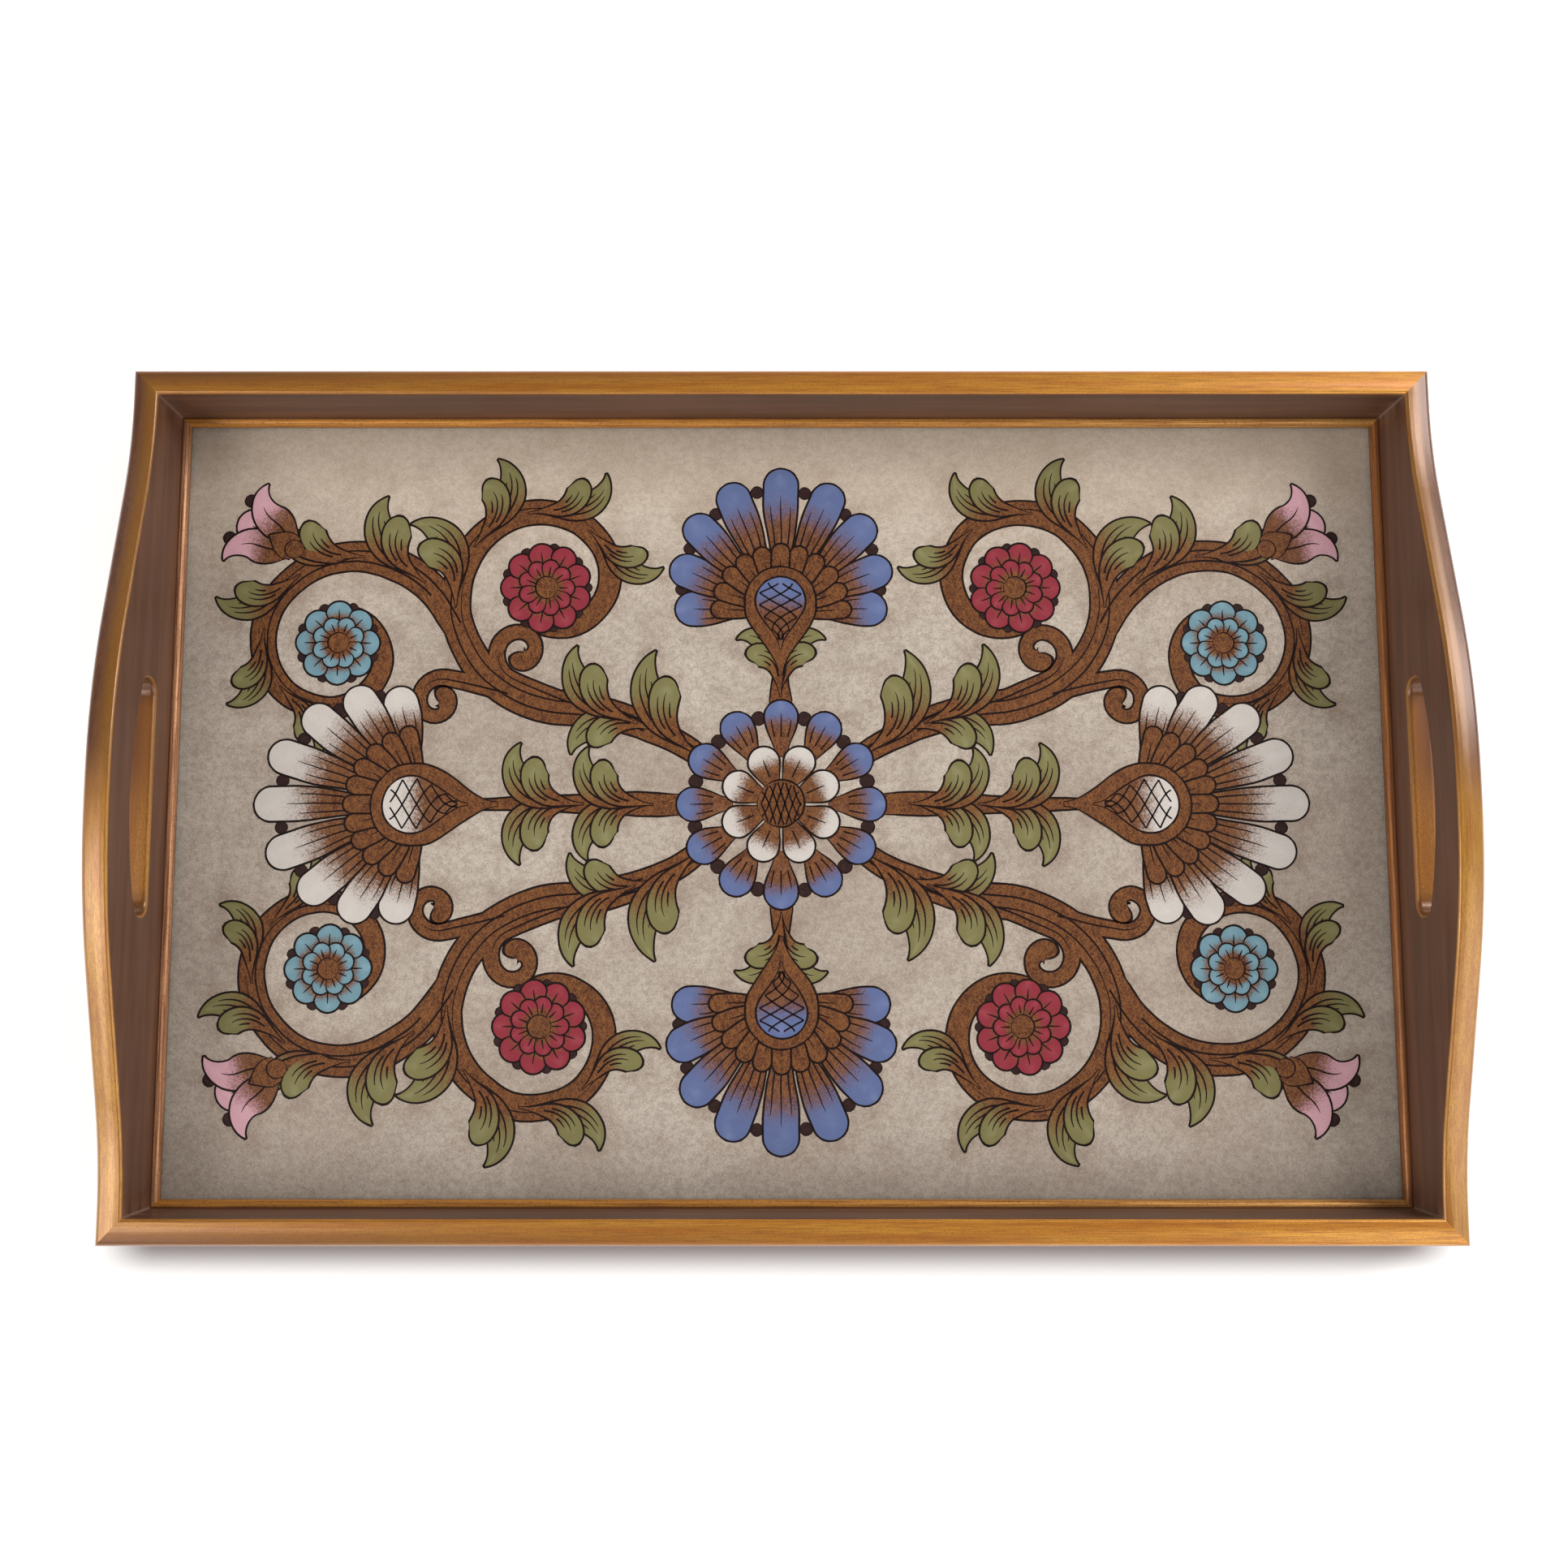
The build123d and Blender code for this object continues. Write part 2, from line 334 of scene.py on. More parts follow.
# ---- Painting --------------------------------------------------------------------------------
# The pane is painted on its back, the ornament first and the ground last. Each motif is built of
# single pulls of a round brush, brown at the root and coloured at the tip, then outlined and
# veined in near-black ink. The drawing is set out in millimetres from the middle of the pane.

point_spacing = 1.3
outline_width = 0.85


def bearing(heading, legs, distance):
    """The heading in degrees at a distance along a line's legs."""
    for length, turn, tighten in legs:
        part = min(distance / length, 1.0)
        heading += turn * (log(1 - tighten * part) / log(1 - tighten) if tighten else part)
        distance -= length
        if distance <= 0:
            break
    return heading


def walk(start, heading, *legs):
    """A line that starts at a place and turns as it goes, as x, y, heading and share of its length.

    A leg is its length, its turn in degrees, and how strongly it tightens towards its end.
    """
    x, y = start
    whole = sum(leg[0] for leg in legs)
    steps = round(whole / point_spacing) + 8
    path = []
    gone = 0.0
    for step in range(steps + 1):
        share = (1 - cos(pi * step / steps)) / 2
        middle = radians(bearing(heading, legs, (gone + share * whole) / 2))
        x += (share * whole - gone) * cos(middle)
        y += (share * whole - gone) * sin(middle)
        gone = share * whole
        path.append((x, y, radians(bearing(heading, legs, gone)), share))
    return path


def ease(part):
    """0 up to 0 and 1 from 1 on, with a soft step between them."""
    part = min(max(part, 0.0), 1.0)
    return part * part * (3 - 2 * part)


def round_end(left, width):
    """How far a round-ended stroke has narrowed, by the length that is left of it."""
    part = min(left / width, 1.0)
    return sqrt(1 - (1 - part) ** 2)


class Stroke:
    """One pull of the brush: a path, its half width at each point, a paint, and its veins."""

    def __init__(self, path, width, shape, paint, merge=False):
        self.path = path
        self.length = sum(hypot(b[0] - a[0], b[1] - a[1]) for a, b in zip(path, path[1:]))
        self.widths = [shape(width, share, (1 - share) * self.length) for x, y, h, share in path]
        self.paint = paint
        self.merge = merge
        self.veins = []
        self.level = 0
        self.lift = 0.0

    def at(self, share, across=0.0):
        """The place, heading in degrees and half width at a share of the length, and across it."""
        last = len(self.path) - 2
        index = next((i for i in range(last) if self.path[i + 1][3] > share), last)
        before, after = self.path[index], self.path[index + 1]
        part = (share - before[3]) / (after[3] - before[3])
        x, y, h = (b + (a - b) * part for a, b in zip(after[:3], before[:3]))
        width = self.widths[index] + (self.widths[index + 1] - self.widths[index]) * part
        return (x - across * width * sin(h), y + across * width * cos(h)), degrees(h), width

    def vein(self, across, start, end, width=0.4):
        """A line of ink along the stroke, tapering to its end."""
        line = []
        for (x, y, h, share), half in zip(self.path, self.widths):
            if start <= share <= end:
                part = (share - start) / (end - start)
                place = (x - across * half * sin(h), y + across * half * cos(h))
                line.append((*place, width * sqrt(max(1 - part ** 2, 0.05))))
        self.veins.append(line)
        return self

    def net(self, start, end, count, slant, width=0.34):
        """Two crossing sets of ink lines, as a net over part of the stroke.

        A slant is the share of the length in which a line crosses from one side to the other.
        """
        steps = 14
        rim = 0.92      # the net stops just inside the stroke's sides
        for side in (-1, 1):
            for number in range(count):
                low = start - slant + (end - start + slant) * number / count
                line = []
                for step in range(steps + 1):
                    part = step / steps
                    share = low + slant * part
                    if start < share < end:
                        place = self.at(share, side * rim * (2 * part - 1))[0]
                        line.append((*place, width))
                if len(line) > 2:
                    self.veins.append(line)
        return self


def lobe(root, swell):
    """Narrow at the root, widest near the end, and round."""
    return lambda width, share, left: (
        width * (root + (1 - root) * ease(share / swell)) * round_end(left, width)
    )


def blade(root, peak):
    """Narrow at the root, widest at its peak, and drawn out to a point."""
    def shape(width, share, left):
        if share < peak:
            return width * (root + (1 - root) * ease(share / peak))
        return width * max(1 - ((share - peak) / (1 - peak)) ** 1.6, 0.02)
    return shape


def arm(root, tail, peak=0.25, eye=0.0):
    """Long and slowly thinning, with a round eye at its end where it has one."""
    def shape(width, share, left):
        if share < peak:
            half = width * (root + (1 - root) * ease(share / peak))
        else:
            half = width * (1 + (tail - 1) * ((share - peak) / (1 - peak)) ** 0.8)
        if eye:
            half += (eye - half) * ease(1 - left / (2.6 * eye))
            half *= round_end(left, eye)
        return max(half, 0.05)
    return shape


def ball(width, share, left):
    """Round, on a path as long as the stroke is wide."""
    return width * sqrt(max(1 - (2 * share - 1) ** 2, 0))


def berry(place, radius=2.3, paint="berry"):
    """A round dab."""
    x, y = place
    return Stroke(walk((x - radius, y), 0, (2 * radius, 0, 0)), radius, ball, paint)


def around(centre, radius, heading):
    """The place at a distance from a centre, in a direction in degrees."""
    return (centre[0] + radius * cos(radians(heading)), centre[1] + radius * sin(radians(heading)))


def leaf(parent, share, side, reach, width, turn, lead, point=False):
    """A leaf that springs from inside a stem, follows it a little way and curls off to one side."""
    start, heading = parent.at(share)[:2]
    ahead = parent.at(min(share + lead / parent.length, 1.0))[1]
    path = walk(start, heading, (lead, (ahead - heading) * 0.8 + side * 14, 0), (reach, side * turn, 0.55))
    made = Stroke(path, width, blade(0.04, 0.6) if point else lobe(0.04, 0.8), "leaf")
    return made.vein(0.0, 0.3, 0.86).vein(-0.45 * side, 0.42, 0.8).vein(0.45 * side, 0.5, 0.76)


def plume(parent, share, side, reach, width, turn):
    """Two leaves that share a root: a long pointed one, and a shorter round one over its back."""
    return [
        leaf(parent, share, side, reach, width, turn, 15, point=True),
        leaf(parent, share, side, 0.7 * reach, 0.92 * width, turn + 12, 11),
    ]


def tendril(parent, share, side, reach, width, turn, sweep):
    """A thin stem that leaves another, sweeps away from it and winds up round a small eye."""
    start, heading = parent.at(share)[:2]
    path = walk(start, heading, (0.45 * reach, side * sweep, 0), (0.55 * reach, side * turn, 0.75))
    made = Stroke(path, width, arm(0.15, 0.6, 0.2, eye=1.35 * width), "scroll", merge=True)
    return made.vein(0.2 * side, 0.1, 0.6)


def petal(centre, heading, inner, outer, width, paint, veins=3):
    """A round-ended petal that points away from a centre, from one radius to another."""
    path = walk(around(centre, inner, heading), heading, (outer - inner, 0, 0))
    made = Stroke(path, width, lobe(0.35, 0.72), paint)
    for number in range(veins):
        offset = number - (veins - 1) / 2
        made.vein(0.62 * offset, 0.3, 0.78 - 0.08 * abs(offset), 0.34)
    return made


def rosette(centre, petals, inner, outer, width, paint, turn=0.0, veins=1):
    """A ring of petals."""
    headings = [turn + 360 * number / petals for number in range(petals)]
    return [petal(centre, heading, inner, outer, width, paint, veins) for heading in headings]


def flower(centre, petals, radius, paint):
    """A round flower: berries behind two rings of petals, and a brown eye."""
    made = [berry(around(centre, 0.9 * radius, 360 * (n + 0.5) / petals), 2.0) for n in range(petals)]
    made += rosette(centre, petals, 0.25 * radius, radius, 2.45 * radius / petals, paint)
    made += rosette(centre, petals, 0.1 * radius, 0.62 * radius, 1.6 * radius / petals, paint, 180 / petals)
    return made + [berry(centre, 0.24 * radius, "scroll")]


def fanned(count):
    """Steps from the middle of a fan of so many strokes, the outermost first."""
    return sorted((number - (count - 1) / 2 for number in range(count)), key=lambda offset: -abs(offset))


def palmette(base, heading, reach, petals, fan, width, paint):
    """A fan of petals with berries between them, behind a netted heart in a fringed brown cup."""
    hub = around(base, 0.3 * reach, heading)
    middle = (petals - 1) / 2
    step = fan / (petals - 1)
    made = []
    for number in range(petals - 1):
        offset = number + 0.5 - middle
        out = reach * (0.6 - 0.14 * abs(offset / middle) ** 1.5)
        made.append(berry(around(hub, out, heading + offset * step)))
    for offset in fanned(petals):
        out = reach * (0.7 - 0.2 * abs(offset / middle) ** 1.5)
        made.append(petal(hub, heading + offset * step, 0.14 * reach, out, width, paint))
    # the cup's fringe
    for offset in fanned(petals + 2):
        turned = heading + offset * step * 0.8
        made.append(petal(hub, turned, 0.02 * reach, 0.33 * reach, 0.5 * width, "scroll", 1))
    cup_path = walk(base, heading, (0.52 * reach, 0, 0))
    cup = Stroke(cup_path, 0.165 * reach, lobe(0.05, 0.62), "scroll")
    heart_path = walk(around(base, 0.12 * reach, heading), heading, (0.35 * reach, 0, 0))
    heart = Stroke(heart_path, 0.115 * reach, lobe(0.03, 0.66), paint).net(0.1, 0.94, 7, 0.34)
    return made + [cup, heart]


def tulip(stem, size, paint):
    """A bud at the end of a stem: two petals that curl away, one between, and a brown calyx."""
    tip, heading = stem.at(1.0)[:2]
    middle = Stroke(walk(tip, heading, (0.95 * size, 0, 0)), 0.26 * size, lobe(0.3, 0.6), paint)
    made = [middle.vein(0, 0.3, 0.8)]
    for lean in (19, -19):
        made.append(berry(around(tip, 0.98 * size, heading + lean), 0.09 * size))
    for side in (-1, 1):
        path = walk(tip, heading + side * 38, (0.55 * size, -side * 30, 0), (0.62 * size, side * 95, 0.3))
        made.append(Stroke(path, 0.24 * size, blade(0.4, 0.42), paint).vein(0, 0.15, 0.7))
    made.append(Stroke(walk(tip, heading, (0.42 * size, 0, 0)), 0.2 * size, blade(0.9, 0.3), "scroll"))
    made.append(berry(tip, 0.13 * size, "scroll"))
    return made


def quarter():
    """One corner of the design: a stem that parts into two scrolls, each round a flower."""
    inner_path = walk((28, 16), 38, (64, -34, 0), (228, 470, 0.74))
    inner = Stroke(inner_path, 6.6, arm(0.6, 0.5, 0.25), "scroll", merge=True)
    fork, heading = inner.at(0.39)[:2]
    outer_path = walk(fork, heading, (20, -12, 0), (206, -455, 0.72))
    outer = Stroke(outer_path, 6.1, arm(0.85, 0.5, 0.2), "scroll", merge=True)
    for stem in (inner, outer):
        stem.vein(0.4, 0.03, 0.5).vein(-0.35, 0.1, 0.75)
    made = [inner, outer]
    made.append(tendril(inner, 0.16, 1, 88, 3.7, 400, 14))
    made.append(tendril(inner, 0.27, -1, 72, 3.5, 390, 12))
    for number, share in enumerate((0.44, 0.53, 0.62, 0.71)):
        made += plume(inner, share, -1, 30 - 2.4 * number, 6.2 - 0.6 * number, 100)
    for number, share in enumerate((0.13, 0.25, 0.37, 0.49, 0.60)):
        made += plume(outer, share, 1, 29 - 2.2 * number, 6.0 - 0.5 * number, 96)
    made += plume(inner, 0.09, -1, 25, 5.4, 92)
    made += plume(inner, 0.02, 1, 36, 6.2, 88)
    made += plume(inner, 0.115, 1, 30, 5.6, 92)
    # a sprig towards the corner, with a bud at its end
    start, heading = outer.at(0.28)[:2]
    sprig_path = walk(start, heading, (10, 8, 0), (12, 26, 0))
    sprig = Stroke(sprig_path, 2.2, arm(0.15, 0.7), "scroll", merge=True)
    made.append(sprig)
    made += tulip(sprig, 27, "pink")
    for stem, side, petals, radius, paint in ((inner, 1, 9, 18, "red"), (outer, -1, 8, 16.5, "turquoise")):
        tip, heading = stem.at(1.0)[:2]
        made += flower(around(tip, 0.62 * radius, heading + 90 * side), petals, radius, paint)
    return made


def end_flower():
    """The white palmette that faces an end board, on its leafy stem."""
    stem = Stroke(walk((38, 0), 0, (80, 0, 0)), 4.4, arm(0.9, 0.4), "scroll", merge=True)
    made = [stem]
    for side in (-1, 1):
        made += plume(stem, 0.16, side, 27, 5.4, 112)
        made += plume(stem, 0.5, side, 29, 5.6, 118)
    return made + palmette((112, 0), 0, 96, 9, 152, 6.6, "white")


def rail_flower():
    """The blue palmette that faces a rail, on its short stem."""
    stem = Stroke(walk((0, 36), 90, (22, 0, 0)), 4.2, arm(0.9, 0.4), "scroll", merge=True)
    made = [stem]
    for side in (-1, 1):
        made += plume(stem, 0.3, side, 21, 4.8, 112)
    return made + palmette((0, 52), 90, 84, 9, 176, 6.6, "blue")


def medallion():
    """The round flower in the middle, whose brown eye is netted."""
    made = [berry(around((0, 0), 35, 15 + 30 * n), 2.6) for n in range(12)]
    made += rosette((0, 0), 12, 19, 41, 6.4, "blue", veins=3)
    made += rosette((0, 0), 8, 5, 24, 6.0, "white", 22.5)
    made.append(berry((0, 0), 9, "scroll").net(0.05, 0.95, 7, 0.3))
    return made


def mirrored(strokes, x_side, y_side):
    """The same strokes on another side of the pane."""
    for stroke in strokes:
        stroke.path = [(x_side * x, y_side * y, h, share) for x, y, h, share in stroke.path]
        stroke.veins = [[(x_side * x, y_side * y, half) for x, y, half in line] for line in stroke.veins]
    return strokes


def boxes_meet(one, other):
    """Whether the boxes round two strokes overlap, a quick test before a slow one."""
    reach = max(one.widths) + max(other.widths) + outline_width
    for axis in (0, 1):
        here = [point[axis] for point in one.path]
        there = [point[axis] for point in other.path]
        if min(here) - reach >= max(there) or min(there) - reach >= max(here):
            return False
    return True


def crosses(one, other):
    """Whether two strokes lie over each other anywhere."""
    if not boxes_meet(one, other):
        return False
    for (ax, ay, h, share), a_half in zip(one.path[::2], one.widths[::2]):
        for (bx, by, h, share), b_half in zip(other.path[::2], other.widths[::2]):
            if hypot(ax - bx, ay - by) < a_half + b_half + outline_width:
                return True
    return False


painting = []
for x_side in (-1, 1):
    for y_side in (-1, 1):
        painting += mirrored(quarter(), x_side, y_side)
    painting += mirrored(end_flower(), x_side, 1)
for y_side in (-1, 1):
    painting += mirrored(rail_flower(), 1, y_side)
painting += medallion()

# each stroke lies a level above those it crosses, unless it merges with them, and strokes on one
# level lie a hair apart, so that no two of them share a plane
hair = 0.0005 * mm
for number, stroke in enumerate(painting):
    under = [other.level for other in painting[:number] if crosses(stroke, other)]
    if under:
        stroke.level = max(under) + (0 if stroke.merge else 1)
    stroke.lift = number % 8 * hair

film_corner, film_far_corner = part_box("paint_film")
film_low, film_high = film_corner[2], film_far_corner[2]
ground_depth = 0.03 * mm
ornament_low = film_low + 1.5 * ground_depth
levels = max(stroke.level for stroke in painting) + 1
level_depth = (film_high - ornament_low) / levels
scene = bpy.context.scene


class Recipe(Nodes):
    """A Geometry Nodes tree with named inputs, and a way to cook a mesh by it."""

    def __init__(self, name, inputs):
        super().__init__(bpy.data.node_groups.new(name, "GeometryNodeTree"))
        self.inputs = {}
        for title, kind in {"Geometry": "Geometry", **inputs, "Paint": "Material"}.items():
            socket = self.tree.interface.new_socket(title, in_out="INPUT", socket_type=f"NodeSocket{kind}")
            self.inputs[title] = socket.identifier
        self.tree.interface.new_socket("Geometry", in_out="OUTPUT", socket_type="NodeSocketGeometry")
        self.given = self.tree.nodes.new("NodeGroupInput")

    def take(self, title):
        """One of the named inputs."""
        return Wire(self, self.given.outputs[title])

    def label(self, geometry, name, value):
        """Leave a value on the points, for a material to read by its name."""
        settings = {"data_type": "FLOAT", "domain": "POINT"}
        sockets = {"Geometry": geometry, "Name": name, "Value": value}
        return self.node("GeometryNodeStoreNamedAttribute", settings, sockets)

    def serve(self, geometry):
        """Close the tree: loose instances made real, in the paint that is asked for."""
        real = self.node("GeometryNodeRealizeInstances", {}, {0: geometry})
        sockets = {"Geometry": real, "Material": self.take("Paint")}
        painted = self.node("GeometryNodeSetMaterial", {}, sockets)
        self.feed(self.tree.nodes.new("NodeGroupOutput").inputs[0], painted)

    def cook(self, name, base, values):
        """Run the tree on an object and return the result as a plain mesh object."""
        scene.collection.objects.link(base)
        modifier = base.modifiers.new(name, "NODES")
        modifier.node_group = self.tree
        for title, value in values.items():
            modifier[self.inputs[title]] = value
        graph = bpy.context.evaluated_depsgraph_get()
        mesh = bpy.data.meshes.new_from_object(base.evaluated_get(graph))
        base.modifiers.remove(modifier)
        bpy.data.objects.remove(base)
        made = bpy.data.objects.new(name, mesh)
        scene.collection.objects.link(made)
        return made


def brush():
    """Flat ribbons along curves, as wide as the curves' radius, with a hand's unevenness."""
    recipe = Recipe("brush", {"Wobble": "Float", "Ragged": "Float", "Seed": "Float"})
    spot = recipe.node("GeometryNodeInputPosition", {}, {})
    drift = recipe.node("ShaderNodeTexNoise", {}, {"Vector": spot, "Scale": 45.0, "Detail": 1.0}, "Color")
    drift = recipe.node("ShaderNodeVectorMath", {"operation": "SUBTRACT"}, {0: drift, 1: (0.5, 0.5, 0.5)})
    sockets = {0: drift, "Scale": recipe.take("Wobble")}
    drift = recipe.node("ShaderNodeVectorMath", {"operation": "SCALE"}, sockets)
    drift = recipe.node("ShaderNodeVectorMath", {"operation": "MULTIPLY"}, {0: drift, 1: (1, 1, 0)})
    sockets = {"Geometry": recipe.take("Geometry"), "Offset": drift}
    line = recipe.node("GeometryNodeSetPosition", {}, sockets)
    line = recipe.node("GeometryNodeSetCurveNormal", {"mode": "Z_UP"}, {0: line})
    line = recipe.label(line, "along", recipe.node("GeometryNodeSplineParameter", {}, {}, "Factor"))
    hairs = recipe.node("GeometryNodeCurvePrimitiveLine", {}, {"Start": (-1, 0, 0), "End": (1, 0, 0)})
    side = recipe.node("GeometryNodeSplineParameter", {}, {}, "Factor") * 2 - 1
    hairs = recipe.label(hairs, "across", side)
    sockets = {"Vector": spot, "W": recipe.take("Seed"), "Scale": 160.0, "Detail": 2.0}
    tremble = recipe.node("ShaderNodeTexNoise", {"noise_dimensions": "4D"}, sockets) - 0.5
    radius = recipe.node("GeometryNodeInputRadius", {}, {})
    width = (radius + tremble * recipe.take("Ragged")).most(0.02 * mm)
    sockets = {"Curve": line, "Profile Curve": hairs, "Scale": width}
    recipe.serve(recipe.node("GeometryNodeCurveToMesh", {}, sockets))
    return recipe


def strung(name, lines):
    """A curve object with a spline for each line of points: x, y, height and half width."""
    curves = bpy.data.curves.new(name, "CURVE")
    curves.dimensions = "3D"
    for points in lines:
        spline = curves.splines.new("POLY")
        spline.points.add(len(points) - 1)
        for point, (x, y, z, half) in zip(spline.points, points):
            point.co = (x * mm, y * mm, z, 1)
            point.radius = half * mm
    return bpy.data.objects.new(name, curves)


def height(stroke, part):
    """How high in the film a stroke's outline, colour and veins lie: parts 0, 1 and 2 of 3."""
    return ornament_low + (stroke.level + part / 3) * level_depth + stroke.lift


def labelled(finish, name):
    """A value that a recipe left on the points."""
    return finish.node("ShaderNodeAttribute", {"attribute_name": name}, {}, "Fac")


def flat_paint(name, thick, thin):
    """Dark paint of one colour, thinner in places."""
    finish = Finish(name, {"Roughness": 0.45, "Specular IOR Level": 0.1})
    cloud = finish.noise((0.0015, 0.0015, 0.0015), detail=3).rise(0.45, 0.75)
    finish.wear({"Base Color": finish.blend(cloud * 0.5, shade(thick), shade(thin))})
    return finish.material


def scratches(finish, grain=(0.0032, 0.0003, 1), seed=0.0):
    """Short fine strokes that cross each other in four directions, as a share from 0 to 1."""
    marks = 0
    for number, turn in enumerate((20, 65, 110, 155)):
        strokes = finish.noise(grain, detail=1, turn=turn, seed=seed + 3.7 * number)
        marks = strokes.rise(0.56, 0.66).most(marks)
    return marks


def scratched_brown(finish, cloud, fresh, faded):
    """Cloudy brown, scratched through to gold."""
    brown = finish.blend(cloud.rise(0.3, 0.7), shade(fresh), shade(faded))
    return finish.blend(scratches(finish) * 0.65, brown, shade("9c6737"))


def oil(name, root, tip, change, glow):
    """Oil colour that changes from root to tip at a share of the stroke, and glows down its middle."""
    finish = Finish(name, {"Roughness": 0.5, "Specular IOR Level": 0.1})
    along = labelled(finish, "along")
    across = labelled(finish, "across")
    stipple = finish.noise((0.0006, 0.0006, 0.0006), detail=2)
    cloud = finish.noise((0.006, 0.006, 0.006), detail=2)
    base = scratched_brown(finish, cloud, root, "563023")
    turning = (along + 0.45 * (stipple - 0.5) + 0.2 * (cloud - 0.5)).rise(change - 0.14, change + 0.16)
    pale = (1 - abs(across)).rise(0.2, 1.0) * along.rise(change, change + 0.3) * cloud.rise(0.3, 0.7)
    end = finish.blend(pale * 0.35, shade(tip), shade(glow))
    end = finish.blend(stipple.rise(0.6, 0.75) * 0.25, end, shade(root))
    finish.wear({"Base Color": finish.blend(turning, base, end)})
    return finish.material


def scroll_brown():
    """The brown of the scrolls, the same from root to tip."""
    finish = Finish("scroll_brown", {"Roughness": 0.5, "Specular IOR Level": 0.1})
    cloud = finish.noise((0.008, 0.008, 0.008), detail=3)
    finish.wear({"Base Color": scratched_brown(finish, cloud, "613a27", "502e22")})
    return finish.material


paints = {
    "scroll": scroll_brown(),
    "leaf": oil("leaf_green", "6c4228", "7f784d", 0.6, "a5a27c"),
    "turquoise": oil("petal_turquoise", "68412d", "7396a2", 0.56, "9fb9c1"),
    "white": oil("petal_white", "684634", "cfc6be", 0.64, "e2dcd5"),
    "red": oil("petal_red", "68412d", "90333e", 0.5, "b0585f"),
    "blue": oil("petal_blue", "684538", "626f99", 0.64, "8a96b8"),
    "pink": oil("petal_pink", "684538", "d8a6af", 0.5, "e6bfc7"),
    "berry": flat_paint("berry_brown", "33211f", "4b3431"),
}
brush_recipe = brush()

# colours, edges and veins wobble alike, so that they stay together
hand = {"Wobble": 1.6 * mm, "Seed": 0.0}


def line_width(gone):
    """The width of the ink edge, which is thin at a stroke's root and swells in the first 12 mm."""
    return outline_width * (0.4 + 0.6 * ease(gone / 12))


def edge(stroke):
    """A stroke's points for its ink edge: the stroke grown all round by the width of the line."""
    z = height(stroke, 0)
    (ax, ay), (bx, by) = stroke.path[0][:2], stroke.path[1][:2]
    (cx, cy), (dx, dy) = stroke.path[-2][:2], stroke.path[-1][:2]
    spots = [(share * stroke.length, x, y) for x, y, h, share in stroke.path]
    # points beyond both ends, over which the edge is rounded off
    for part in (0.4, 0.75, 0.98):
        before = part * line_width(0)
        after = part * line_width(stroke.length)
        first = before / hypot(bx - ax, by - ay)
        last = after / hypot(dx - cx, dy - cy)
        spots.insert(0, (-before, ax - first * (bx - ax), ay - first * (by - ay)))
        spots.append((stroke.length + after, dx + last * (dx - cx), dy + last * (dy - cy)))
    halves = [(share * stroke.length, half) for (x, y, h, share), half in zip(stroke.path, stroke.widths)]
    points = []
    for gone, x, y in spots:
        grown = (half + sqrt(line_width(at) ** 2 - (gone - at) ** 2) for at, half in halves
                 if abs(gone - at) <= line_width(at))
        points.append((x, y, z, max(grown)))
    return points


def in_film(made):
    """Hand over a piece that, with others, takes the place of the plain paint film."""
    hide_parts("paint_film")
    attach(made, "root")
    return made


def laid(name, lines, paint, values):
    """Strokes of one paint, pulled along lines of points."""
    return in_film(brush_recipe.cook(name, strung(name, lines), hand | values | {"Paint": paint}))


def body(stroke):
    """A stroke's points for its colour."""
    z = height(stroke, 1)
    return [(x, y, z, half) for (x, y, h, share), half in zip(stroke.path, stroke.widths)]


for paint, material in paints.items():
    lines = [body(stroke) for stroke in painting if stroke.paint == paint]
    laid(f"painted_{paint}", lines, material, {"Ragged": 0.25 * mm})

ink = flat_paint("ink", "1d1210", "35231e")
edges = [edge(stroke) for stroke in painting]
outlines = laid("painted_outlines", edges, ink, {"Ragged": 0.35 * mm, "Seed": 4.0})
veins = [
    [(x, y, height(stroke, 2), half) for x, y, half in line]
    for stroke in painting
    for line in stroke.veins
]
laid("painted_veins", veins, ink, {"Ragged": 0.15 * mm, "Seed": 9.0})


def ground_recipe():
    """A thin closed sheet, with a point every 2 mm that knows how near the ornament lies."""
    inputs = {"Size": "Vector", "Middle": "Vector", "Ornament": "Object", "Reach": "Float"}
    recipe = Recipe("ground", inputs)
    sockets = {"Size": recipe.take("Size"), "Vertices X": 240, "Vertices Y": 156, "Vertices Z": 2}
    sheet = recipe.node("GeometryNodeMeshCube", {}, sockets)
    sockets = {"Geometry": sheet, "Translation": recipe.take("Middle")}
    sheet = recipe.node("GeometryNodeTransform", {}, sockets)
    ornament = recipe.node("GeometryNodeObjectInfo", {}, {"Object": recipe.take("Ornament")}, "Geometry")
    away = recipe.node("GeometryNodeProximity", {}, {0: ornament}, "Distance")
    recipe.serve(recipe.label(sheet, "nearness", 1 - (away / recipe.take("Reach")).least(1)))
    return recipe


